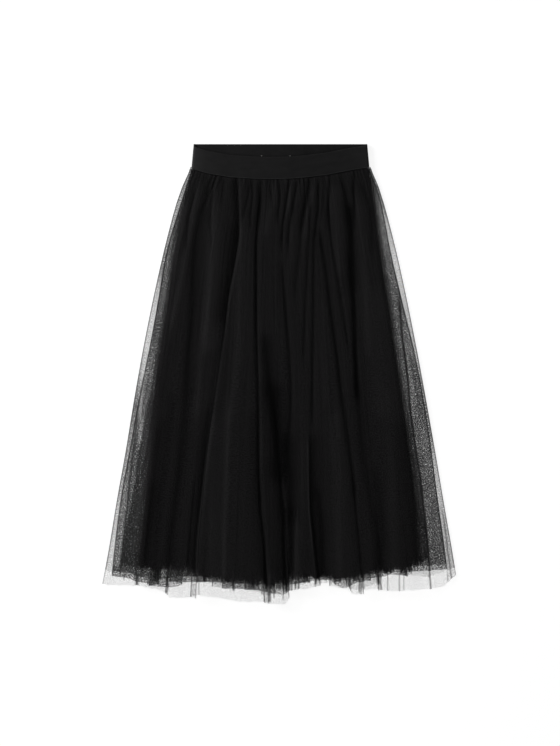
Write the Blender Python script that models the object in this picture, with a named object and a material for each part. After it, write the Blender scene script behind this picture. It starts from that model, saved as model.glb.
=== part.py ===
"""A tulle skirt laid flat: an elastic waistband ring, two gathered net layers and a lining, front and back.

The skirt lies on z = 0 with its waist towards +Y and its front up. "across" is x, and "drop" is the distance
down from the straight top edge of the band's back half. Tables are in millimetres, meshes in metres.
"""

import math
from collections import namedtuple

import bmesh
import bpy

MM = 0.001

# Driving sizes of the whole skirt.
LENGTH = 803.0
BAND_DEPTH = 39.6
BAND_WALL = 1.8
BAND_HEIGHT = 7.4
CLOTH = 1.0
GAP = 0.3
LAYER_STEP = CLOTH + GAP

# Lower surface of each layer of the stack, counted up from the floor.
STACK_ORDER = ("outer_back", "inner_back", "lining_back", "lining_front", "inner_front", "outer_front")
STACK = {layer: place * LAYER_STEP for place, layer in enumerate(STACK_ORDER)}

# Side edges of the outer net, the inner net and the lining, one row for each section down the skirt.
SECTION_COLUMNS = (
    "drop",
    "outer_left",
    "outer_right",
    "inner_left",
    "inner_right",
    "lining_left",
    "lining_right",
)
SECTIONS = (
    (36.0, -154.5, 158.0, -152.5, 156.0, -150.5, 154.0),
    (54.0, -160.0, 164.0, -156.5, 161.0, -153.0, 157.0),
    (74.0, -170.5, 174.0, -164.0, 170.5, -160.0, 162.0),
    (98.0, -179.5, 181.5, -171.0, 178.0, -166.0, 165.5),
    (185.0, -202.0, 204.0, -198.0, 193.5, -184.0, 176.0),
    (272.0, -221.5, 223.0, -212.0, 214.0, -194.5, 189.5),
    (360.0, -239.0, 240.5, -228.0, 236.0, -209.5, 202.5),
    (447.0, -254.5, 256.5, -243.0, 252.5, -221.0, 215.0),
    (535.0, -268.5, 272.0, -262.0, 266.0, -226.5, 228.0),
    (622.0, -284.5, 286.5, -276.0, 277.0, -235.0, 238.5),
    (710.0, -298.5, 302.0, -287.0, 289.5, -245.0, 243.5),
    (803.0, -316.4, 316.8, -298.0, 301.0, -256.0, 249.0),
)

# Drops of the rows that every layer shares between its seam and its hem.
LEVELS = (80.0, 110.0, 150.0, 205.0, 272.0, 360.0, 447.0, 535.0, 622.0, 710.0)

# Top edge of the band's front half, which dips below the straight back edge: (across, drop).
BAND_DIP = (
    (-150.0, 4.0),
    (-140.0, 8.0),
    (-123.0, 13.0),
    (-85.0, 19.5),
    (-49.0, 22.0),
    (-18.0, 23.0),
    (18.0, 22.2),
    (49.0, 19.6),
    (83.0, 15.2),
    (116.0, 8.6),
    (140.0, 4.5),
    (153.0, 3.0),
)

# Hem of the outer front net, the lowest edge of the skirt: (across, drop).
FRONT_HEM = (
    (-309.0, 764.0),
    (-296.0, 771.0),
    (-244.0, 771.5),
    (-209.0, 778.0),
    (-195.0, 783.5),
    (-188.0, 792.0),
    (-157.0, 792.0),
    (-139.0, 788.5),
    (-104.0, 792.0),
    (-69.0, 799.0),
    (-20.0, 799.5),
    (-14.0, 803.0),
    (4.0, 803.0),
    (11.0, 782.0),
    (20.0, 781.0),
    (30.0, 775.0),
    (46.0, 778.0),
    (69.0, 768.0),
    (102.0, 764.5),
    (120.0, 772.0),
    (125.0, 786.0),
    (141.0, 786.0),
    (146.0, 777.5),
    (172.0, 777.5),
    (192.0, 781.0),
    (260.0, 777.5),
    (281.0, 775.0),
    (294.0, 767.0),
    (309.0, 754.0),
)

# Hem of the outer back net, a little shorter than the front at most places: (across, drop).
BACK_HEM = (
    (-309.0, 745.0),
    (-262.0, 757.0),
    (-209.0, 773.0),
    (-165.0, 764.0),
    (-122.0, 768.0),
    (-87.0, 776.0),
    (-34.0, 780.0),
    (-16.0, 791.0),
    (1.0, 780.0),
    (36.0, 762.0),
    (71.0, 760.0),
    (123.0, 779.0),
    (141.0, 779.0),
    (158.0, 766.0),
    (184.0, 748.0),
    (263.0, 757.0),
    (309.0, 741.0),
)

# Hem of the inner front net, where the many layers end: (across, drop).
INNER_HEM = (
    (-298.0, 755.0),
    (-264.0, 759.0),
    (-250.0, 765.0),
    (-201.0, 775.0),
    (-180.0, 765.0),
    (-107.0, 764.0),
    (-86.0, 770.0),
    (-33.0, 773.0),
    (-12.0, 786.0),
    (-2.0, 775.0),
    (19.0, 772.0),
    (30.0, 763.0),
    (93.0, 760.0),
    (114.0, 766.0),
    (124.0, 777.0),
    (135.0, 766.0),
    (172.0, 758.0),
    (184.0, 747.0),
    (219.0, 756.0),
    (232.0, 748.0),
    (303.0, 743.0),
)

# Hem of the lining, where the dark body of the skirt ends: (across, drop).
LINING_HEM = (
    (-252.0, 736.0),
    (-209.0, 740.0),
    (-157.0, 737.0),
    (-122.0, 756.0),
    (-34.0, 760.0),
    (-17.0, 768.0),
    (18.0, 754.0),
    (36.0, 746.0),
    (71.0, 756.0),
    (123.0, 756.0),
    (158.0, 745.0),
    (228.0, 735.0),
    (262.0, 722.0),
)
INNER_BACK_RISE = 9.0
LINING_BACK_RISE = 9.0

# Crown of the outer front net above the layers under it: (drop, height).
CROWN = ((42.0, 1.6), (80.0, 3.0), (150.0, 5.5), (360.0, 8.5), (622.0, 10.5), (803.0, 11.5))

# Troughs between the main folds of the front: where each runs, its depth and breadth, and where it lasts.
WAIST_DROP = 62.0
MIDDLE_DROP = 395.0
HEM_DROP = 736.0
TROUGH_FADE = 70.0
Trough = namedtuple("Trough", "waist middle hem depth half_width starts ends")
TROUGHS = tuple(Trough(*row) for row in (
    (-147.0, -216.0, -262.0, 0.50, 7.0, 120.0, 900.0),
    (-145.0, -200.0, -232.0, 0.55, 7.0, 90.0, 900.0),
    (-135.0, -177.0, -196.0, 0.80, 8.0, 40.0, 900.0),
    (-102.0, -156.0, -186.0, 0.60, 7.0, 400.0, 900.0),
    (-76.0, -115.0, -145.0, 1.00, 10.0, 40.0, 900.0),
    (-58.0, -83.0, -99.0, 0.35, 6.0, 250.0, 900.0),
    (-50.0, -63.0, -68.0, 0.30, 6.0, 40.0, 900.0),
    (-43.0, -43.0, -20.0, 0.65, 7.0, 40.0, 900.0),
    (-30.0, -17.0, 3.5, 1.00, 13.0, 330.0, 900.0),
    (2.5, 19.0, 24.0, 0.70, 6.0, 40.0, 900.0),
    (32.0, 45.0, 64.0, 0.85, 10.0, 470.0, 900.0),
    (52.0, 70.0, 96.0, 0.45, 7.0, 120.0, 900.0),
    (72.0, 102.0, 139.0, 0.65, 7.0, 420.0, 900.0),
    (80.0, 108.0, 168.0, 0.75, 8.0, 40.0, 900.0),
    (122.0, 133.0, 127.0, 1.00, 10.0, 40.0, 560.0),
    (132.0, 156.0, 191.0, 0.45, 7.0, 80.0, 900.0),
    (144.0, 176.0, 219.0, 0.60, 8.0, 60.0, 900.0),
    (148.0, 190.0, 247.0, 0.50, 7.0, 150.0, 900.0),
))
RELIEF_EDGE = 18.0

# Gathers under the band: each is four columns of the outer front net wide.
GATHERS = 38
COLUMNS_PER_GATHER = 4
GATHER_RISE = 2.6
GATHER_REACH = 85.0
GATHER_REACH_SWING = 35.0

# Where the front layers come down beside the layers that end under them, as shares of the room there.
FALL_HEAD = 0.3
FALL_FOOT = 0.8
FALL_SLOPE = 1.0
FALL = 2 * LAYER_STEP

# Columns of the plainer layers.
INNER_COLUMNS = 38
LINING_COLUMNS = 14
OUTER_BACK_COLUMNS = 48
INNER_BACK_COLUMNS = 24

# Band mesh.
BAND_COLUMNS = 30
BAND_FOLD_STEPS = 6
BAND_LEFT = -150.0
BAND_RIGHT = 153.5
BAND_CENTRE = (BAND_LEFT + BAND_RIGHT) / 2
BAND_FLARE = 1.024

ELASTIC_COLOUR = (0.0120, 0.0118, 0.0122, 1.0)
NET_COLOUR = (0.0075, 0.0073, 0.0078, 1.0)
LINING_COLOUR = (0.0045, 0.0045, 0.0048, 1.0)


def clear_scene():
    for item in list(bpy.data.objects):
        bpy.data.objects.remove(item)


def read(table, key, value_column=1):
    """Straight-line reading of a table that is sorted on its first column."""
    if key <= table[0][0]:
        return table[0][value_column]
    for low, high in zip(table, table[1:]):
        if key <= high[0]:
            share = (key - low[0]) / (high[0] - low[0])
            return low[value_column] + share * (high[value_column] - low[value_column])
    return table[-1][value_column]


def edge(name, drop):
    return read(SECTIONS, drop, SECTION_COLUMNS.index(name))


def hem_line(table, rise=0.0):
    """Function that gives a hem's drop at any x, a constant rise above its table."""
    return lambda x: read(table, x) - rise


def smooth(share):
    share = min(1.0, max(0.0, share))
    return share * share * (3.0 - 2.0 * share)


def even_steps(first, last, count):
    return [first + (last - first) * i / count for i in range(count + 1)]


def cloth_material(name, colour, roughness):
    material = bpy.data.materials.new(name)
    material.use_nodes = True
    shader = material.node_tree.nodes["Principled BSDF"]
    shader.inputs["Base Color"].default_value = colour
    shader.inputs["Roughness"].default_value = roughness
    shader.inputs["Metallic"].default_value = 0.0
    return material


def fall_knots(outside, inside):
    """Edge, foot and head of the fall from a layer's own edge (outside) to the edge under it (inside)."""
    room = inside - outside
    return [outside, inside - FALL_FOOT * room, inside - FALL_HEAD * room]


def fall_depth(outside, inside):
    room = abs(inside - outside)
    return min(FALL, FALL_SLOPE * (FALL_FOOT - FALL_HEAD) * room)


def inner_stations(drop, columns=INNER_COLUMNS):
    """(x, lower z) of each column of the inner front net at one drop: it comes down beside the lining."""
    top = STACK["inner_front"]
    ends = {}
    for side in ("left", "right"):
        outside = edge("inner_" + side, drop)
        inside = edge("lining_" + side, drop)
        low = top - fall_depth(outside, inside)
        ends[side] = list(zip(fall_knots(outside, inside), (low, low, top)))
    middle = even_steps(ends["left"][-1][0], ends["right"][-1][0], columns)
    return ends["left"][:-1] + [(x, top) for x in middle] + ends["right"][-2::-1]


def outer_stations(drop, columns=GATHERS * COLUMNS_PER_GATHER):
    """(x, lower z) of each column of the outer front net, over the inner net and down beside it."""
    inner = inner_stations(drop, columns)
    left = []
    right = []
    for side, knots, inner_edge in (("left", left, inner[0]), ("right", right, inner[-1])):
        outside = edge("outer_" + side, drop)
        inside = inner_edge[0]
        high = inner_edge[1] + LAYER_STEP
        low = high - fall_depth(outside, inside)
        knots.extend(zip(fall_knots(outside, inside), (low, low, high)))
    follows = [(x, z + LAYER_STEP) for x, z in inner[1:-1]]
    return left + follows + right[::-1]


def trough_line(trough, drop):
    """x of a trough at one drop: the parabola through its places at the waist, the middle and the hem."""
    from_waist = drop - WAIST_DROP
    from_middle = drop - MIDDLE_DROP
    from_hem = drop - HEM_DROP
    waist_share = from_middle * from_hem / ((WAIST_DROP - MIDDLE_DROP) * (WAIST_DROP - HEM_DROP))
    middle_share = from_waist * from_hem / ((MIDDLE_DROP - WAIST_DROP) * (MIDDLE_DROP - HEM_DROP))
    hem_share = from_waist * from_middle / ((HEM_DROP - WAIST_DROP) * (HEM_DROP - MIDDLE_DROP))
    return trough.waist * waist_share + trough.middle * middle_share + trough.hem * hem_share


def trough_share(x, drop):
    """How much of the crown is left at a point, after every trough has taken its part."""
    left = 1.0
    for trough in TROUGHS:
        begun = smooth((drop - trough.starts) / TROUGH_FADE + 1.0)
        lasts = smooth((trough.ends - drop) / TROUGH_FADE + 1.0)
        away = (x - trough_line(trough, drop)) / trough.half_width
        left *= 1.0 - trough.depth * begun * lasts / (1.0 + away * away)
    return left


def gather_rise(share, down):
    """Height of the gather wave at a share of the waist, a distance down from the seam."""
    place = share * GATHERS
    number = math.floor(place)
    strength = 0.65 + 0.35 * math.sin(2.1 * number + 0.4 * number * number)
    reach = GATHER_REACH + GATHER_REACH_SWING * math.sin(1.3 * number)
    wave = 0.5 - 0.5 * math.cos(2.0 * math.pi * place)
    return GATHER_RISE * strength * wave * math.exp(-down / reach)


def relief_ends(drop):
    """Left and right end of the raised part of the outer front net, where it starts to come down."""
    ends = []
    for side in ("left", "right"):
        ends.append(fall_knots(edge("inner_" + side, drop), edge("lining_" + side, drop))[-1])
    return ends


def front_relief(x, drop, seam_drop):
    left_end, right_end = relief_ends(drop)
    share = (x - left_end) / (right_end - left_end)
    inside = smooth((x - left_end) / RELIEF_EDGE) * smooth((right_end - x) / RELIEF_EDGE)
    folds = read(CROWN, drop) * trough_share(x, drop)
    return inside * (folds + gather_rise(share, drop - seam_drop))


def band_bottom(x):
    """Drop of the front half's lower edge, which is a little wider than its upper edge."""
    return read(BAND_DIP, BAND_CENTRE + (x - BAND_CENTRE) / BAND_FLARE) + BAND_DEPTH


def front_row_drops(stations_at, hem):
    """Rows of a front layer, each a list of drops: its seam under the band, the shared levels, its hem."""
    seam_x = [x for x, _ in stations_at(BAND_DEPTH + GAP)]
    hem_x = [x for x, _ in stations_at(LENGTH - BAND_DEPTH)]
    rows = [[band_bottom(x) + GAP for x in seam_x]]
    rows += [[level] * len(seam_x) for level in LEVELS]
    rows.append([hem(x) for x in hem_x])
    return rows


def stations_along(stations_at, drops):
    """Station i taken at drop i, for a row that isn't straight."""
    cache = {}
    found = []
    for i, drop in enumerate(drops):
        if drop not in cache:
            cache[drop] = stations_at(drop)
        found.append(cache[drop][i])
    return found


def place(x, drop, z):
    """Point in metres, with the skirt's outline centred on x = 0 and y = 0."""
    return (x * MM, (LENGTH / 2 - drop) * MM, z * MM)


def solid_from_rows(name, rows, material):
    """Closed wall from rows of (x, drop, lower z, upper z)."""
    mesh = bmesh.new()
    lower = []
    upper = []
    for row in rows:
        lower.append([mesh.verts.new(place(x, drop, low)) for x, drop, low, _ in row])
        upper.append([mesh.verts.new(place(x, drop, high)) for x, drop, _, high in row])
    last = len(rows) - 1
    end = len(rows[0]) - 1
    for r in range(last):
        for c in range(end):
            mesh.faces.new((upper[r][c], upper[r + 1][c], upper[r + 1][c + 1], upper[r][c + 1]))
            mesh.faces.new((lower[r][c], lower[r][c + 1], lower[r + 1][c + 1], lower[r + 1][c]))
    for r in range(last):
        mesh.faces.new((upper[r][0], lower[r][0], lower[r + 1][0], upper[r + 1][0]))
        mesh.faces.new((upper[r + 1][end], lower[r + 1][end], lower[r][end], upper[r][end]))
    for c in range(end):
        mesh.faces.new((upper[0][c + 1], lower[0][c + 1], lower[0][c], upper[0][c]))
        mesh.faces.new((upper[last][c], lower[last][c], lower[last][c + 1], upper[last][c + 1]))
    return finish_object(name, mesh, material)


def finish_object(name, mesh, material):
    data = bpy.data.meshes.new(name)
    mesh.to_mesh(data)
    mesh.free()
    data.materials.append(material)
    data.shade_smooth()
    data.set_sharp_from_angle(angle=math.radians(60.0))
    item = bpy.data.objects.new(name, data)
    bpy.context.scene.collection.objects.link(item)
    return item


def thicken(points):
    """Adds the upper surface to a row of (x, drop, lower z): the wall measures CLOTH across its slope."""
    row = []
    for i, (x, drop, low) in enumerate(points):
        before = points[max(0, i - 1)]
        after = points[min(len(points) - 1, i + 1)]
        slope = (after[2] - before[2]) / (after[0] - before[0])
        row.append((x, drop, low, low + CLOTH * math.sqrt(1.0 + slope * slope)))
    return row


def front_layer(name, stations_at, hem, material, raised):
    drops = front_row_drops(stations_at, hem)
    rows = []
    for row_drops in drops:
        points = []
        for (x, low), drop, seam in zip(stations_along(stations_at, row_drops), row_drops, drops[0]):
            lift = front_relief(x, drop, seam) if raised else 0.0
            points.append((x, drop, low + lift))
        rows.append(thicken(points))
    return solid_from_rows(name, rows, material)


def back_layer(name, outline, hem, columns, material):
    """Flat layer of the back half, between the outline's two edges."""
    low = STACK[name.replace("tulle_", "")]
    seam = BAND_DEPTH + GAP

    def x_at(drop, share):
        return edge(outline + "_left", drop) * (1.0 - share) + edge(outline + "_right", drop) * share

    shares = even_steps(0.0, 1.0, columns)
    rows = [[(x_at(seam, share), seam, low, low + CLOTH) for share in shares]]
    for level in LEVELS:
        rows.append([(x_at(level, share), level, low, low + CLOTH) for share in shares])
    last = []
    for share in shares:
        drop = hem(x_at(LENGTH - BAND_DEPTH, share))
        last.append((x_at(drop, share), drop, low, low + CLOTH))
    rows.append(last)
    return solid_from_rows(name, rows, material)


def lining_stations(drop):
    low = STACK["lining_front"]
    xs = even_steps(edge("lining_left", drop), edge("lining_right", drop), LINING_COLUMNS)
    return [(x, low) for x in xs]


def band_fold(fold_x, start_angle):
    """Points round one end of the flattened ring. Its upper half takes over the dip of the front."""
    outer_radius = BAND_HEIGHT / 2
    inner_radius = outer_radius - BAND_WALL
    points = []
    for step in range(1, BAND_FOLD_STEPS):
        angle = start_angle - math.pi * step / BAND_FOLD_STEPS
        along = math.cos(angle)
        up = math.sin(angle)
        points.append(
            (
                fold_x + outer_radius * along,
                outer_radius + outer_radius * up,
                fold_x + inner_radius * along,
                outer_radius + inner_radius * up,
                read(BAND_DIP, fold_x) * max(0.0, up),
            )
        )
    return points


def band_loop():
    """Points round the flattened ring, front from left to right and back again.

    Each is (x, outer z, inner x, inner z, dip).
    """
    left = BAND_LEFT + BAND_HEIGHT / 2
    right = BAND_RIGHT - BAND_HEIGHT / 2
    xs = even_steps(left, right, BAND_COLUMNS)
    front = [(x, BAND_HEIGHT, x, BAND_HEIGHT - BAND_WALL, read(BAND_DIP, x)) for x in xs]
    back = [(x, 0.0, x, BAND_WALL, 0.0) for x in reversed(xs)]
    return front + band_fold(right, math.pi / 2) + back + band_fold(left, math.pi * 3 / 2)


def waistband(material):
    """Elastic ring lying flat. Its sides flare a little towards the gathers."""
    mesh = bmesh.new()
    rings = []
    for x, z, inner_x, inner_z, dip in band_loop():
        bottom = dip + BAND_DEPTH
        wide_x = BAND_CENTRE + (x - BAND_CENTRE) * BAND_FLARE
        wide_inner_x = BAND_CENTRE + (inner_x - BAND_CENTRE) * BAND_FLARE
        rings.append(
            (
                mesh.verts.new(place(x, dip, z)),
                mesh.verts.new(place(wide_x, bottom, z)),
                mesh.verts.new(place(wide_inner_x, bottom, inner_z)),
                mesh.verts.new(place(inner_x, dip, inner_z)),
            )
        )
    for here, ahead in zip(rings, rings[1:] + rings[:1]):
        for side in range(4):
            other = (side + 1) % 4
            mesh.faces.new((here[side], here[other], ahead[other], ahead[side]))
    return finish_object("waistband", mesh, material)


def main():
    clear_scene()
    elastic = cloth_material("elastic_black", ELASTIC_COLOUR, 0.9)
    net = cloth_material("tulle_black", NET_COLOUR, 0.75)
    lining = cloth_material("lining_black", LINING_COLOUR, 0.85)
    waistband(elastic)
    front_layer("tulle_outer_front", outer_stations, hem_line(FRONT_HEM), net, raised=True)
    front_layer("tulle_inner_front", inner_stations, hem_line(INNER_HEM), net, raised=False)
    front_layer("lining_front", lining_stations, hem_line(LINING_HEM), lining, raised=False)
    back_layer("lining_back", "lining", hem_line(LINING_HEM, LINING_BACK_RISE), LINING_COLUMNS, lining)
    back_layer("tulle_inner_back", "inner", hem_line(INNER_HEM, INNER_BACK_RISE), INNER_BACK_COLUMNS, net)
    back_layer("tulle_outer_back", "outer", hem_line(BACK_HEM), OUTER_BACK_COLUMNS, net)


main()
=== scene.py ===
"""Looks of the flat-laid tulle skirt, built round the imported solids.

Sizes are in millimetres, with "across" as x and "drop" as the distance down from the back band's top edge.
"""

import math
from collections import namedtuple

import bmesh
import bpy
import numpy as np
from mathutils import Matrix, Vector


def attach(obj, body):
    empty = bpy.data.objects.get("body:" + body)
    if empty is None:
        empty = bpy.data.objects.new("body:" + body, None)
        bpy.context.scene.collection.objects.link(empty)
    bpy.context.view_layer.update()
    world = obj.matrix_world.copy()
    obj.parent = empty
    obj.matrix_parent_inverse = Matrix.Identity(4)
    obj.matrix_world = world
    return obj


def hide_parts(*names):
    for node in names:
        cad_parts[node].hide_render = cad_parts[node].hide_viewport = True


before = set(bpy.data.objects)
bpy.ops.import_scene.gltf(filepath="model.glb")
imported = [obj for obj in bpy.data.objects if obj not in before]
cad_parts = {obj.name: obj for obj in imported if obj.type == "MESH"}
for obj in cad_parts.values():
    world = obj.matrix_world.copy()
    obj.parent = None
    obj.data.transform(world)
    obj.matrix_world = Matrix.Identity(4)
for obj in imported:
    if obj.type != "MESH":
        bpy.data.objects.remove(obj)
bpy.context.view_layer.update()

MM = 0.001
LENGTH = 803.0
BAND_DEPTH = 39.6
BAND_WALL = 1.8
BAND_HEIGHT = 7.4
BAND_LEFT = -150.0
BAND_RIGHT = 153.5
BAND_CENTRE = (BAND_LEFT + BAND_RIGHT) / 2
BAND_FLARE = 1.024

# Side edges of each layer: drop, then left and right of the outer nets, the inner nets and the linings.
SECTIONS = np.array((
    (36, -154.5, 158, -152.5, 156, -150.5, 154), (54, -160, 164, -156.5, 161, -153, 157),
    (74, -170.5, 174, -164, 170.5, -160, 162), (98, -179.5, 181.5, -171, 178, -166, 165.5),
    (185, -202, 204, -198, 193.5, -184, 176), (272, -221.5, 223, -212, 214, -194.5, 189.5),
    (360, -239, 240.5, -228, 236, -209.5, 202.5), (447, -254.5, 256.5, -246.5, 252.5, -221, 215),
    (535, -268.5, 272, -262, 266, -226.5, 228), (622, -284.5, 286.5, -278.5, 277, -235, 238.5),
    (710, -298.5, 302, -289.5, 289.5, -245, 243.5), (803, -316.4, 316.8, -298, 301, -256, 249),
))
EDGE_COLUMN = {"outer": 1, "inner": 3, "lining": 5}
EDGE_SOFTENING = 30.0

# Top edge of the band's front half: (across, drop).
BAND_DIP = np.array((
    (-150, 4), (-140, 8), (-123, 13), (-85, 19.5), (-49, 22), (-18, 23), (18, 22.2), (49, 19.6), (83, 15.2),
    (116, 8.6), (140, 4.5), (153, 3),
))

# Hems: (across, drop).
FRONT_HEM = np.array((
    (-309, 769), (-296, 771), (-244, 771.5), (-209, 778), (-195, 783.5), (-188, 792), (-157, 792),
    (-139, 788.5), (-104, 792), (-69, 799), (-20, 799.5), (-14, 803), (4, 803), (11, 782), (20, 781),
    (30, 775), (46, 778), (69, 768), (102, 764.5), (120, 772), (125, 786), (141, 786), (146, 777.5),
    (172, 777.5), (192, 781), (260, 777.5), (281, 775), (294, 767), (309, 754),
))
BACK_HEM = np.array((
    (-309, 745), (-262, 757), (-209, 773), (-165, 764), (-122, 768), (-87, 776), (-34, 780), (-16, 791),
    (1, 780), (36, 762), (71, 760), (123, 779), (141, 779), (158, 766), (184, 748), (263, 757), (309, 741),
))
INNER_HEM = np.array((
    (-298, 755), (-264, 759), (-250, 765), (-201, 775), (-180, 765), (-107, 766), (-92, 776), (-33, 780),
    (-12, 788), (-2, 779), (19, 776), (30, 768), (93, 760), (114, 766), (124, 777), (135, 766), (172, 758),
    (184, 747), (219, 756), (232, 748), (303, 743),
))
LINING_HEM = np.array((
    (-252, 736), (-209, 740), (-157, 737), (-122, 756), (-34, 760), (-17, 768), (18, 754), (36, 746),
    (71, 756), (123, 756), (158, 745), (228, 735), (262, 722),
))

# How much higher the back's inner net and lining end than the front's.
BACK_RISE = 9.0

# Where the dense folds of the inner nets end in threads and corners of uneven length: (across, drop).
FOLDS_END = np.array((
    (-300, 752), (-262, 752), (-259, 718), (-249, 718), (-244, 752), (-205, 762), (-186, 760), (-182, 746),
    (-138, 754), (-90, 760), (-65, 762), (9, 764), (30, 751), (51, 757), (124, 758), (145, 751), (187, 739),
    (208, 744), (300, 742),
))
THREAD_PITCH = 2.8
THREAD_REACH = 21.0
THREAD_FADE = 7.0
LOW_LAYERS = 4.2
HEM_LAYERS = 4.4
HEM_PANELS = 0.15
PANEL_BLUR = 0.0018
HEM_FOLD_LOSS = 0.55

# Fold edges that show in the front net's hem: (across, drop where it ends, cover, width).
HEM_LINES = (
    (-271.8, 761.6, 0.78, 1.2), (-248.7, 770.8, 1.55, 3.2), (-194.4, 777.4, 1.01, 1.5),
    (-140.5, 787, 0.85, 1.2), (-80.2, 779.5, 1.47, 2.2), (-30.6, 787, 1.01, 1.4), (-17, 799.5, 1.55, 2.2),
    (-9.6, 792.2, 1.16, 1.2), (6.5, 795.7, 1.01, 1.2), (12.2, 782, 1.32, 1.6), (20.7, 782, 1.4, 2),
    (63, 774.7, 0.7, 1.2), (122.3, 783.7, 1.47, 2), (139.3, 783, 1.32, 1.6), (171.7, 769.7, 1.55, 2.5),
    (188.5, 780, 0.93, 1.1), (208.9, 781, 1.01, 1.1), (216.7, 777.9, 0.78, 1.1), (261.4, 758.3, 1.01, 1.2),
    (293.7, 764.2, 0.85, 1.2),
)
HEM_LINE_START = 742.0
SPIKE = 3.0
SPIKE_OVERLAP = 9.0
SPIKE_WIDTH = 2.2

# Crown of the outer front net above what it lies on: (drop, height).
CROWN = np.array(((42, 1.6), (80, 3), (150, 5.5), (360, 8.5), (622, 10.5), (803, 11.5)))

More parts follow.
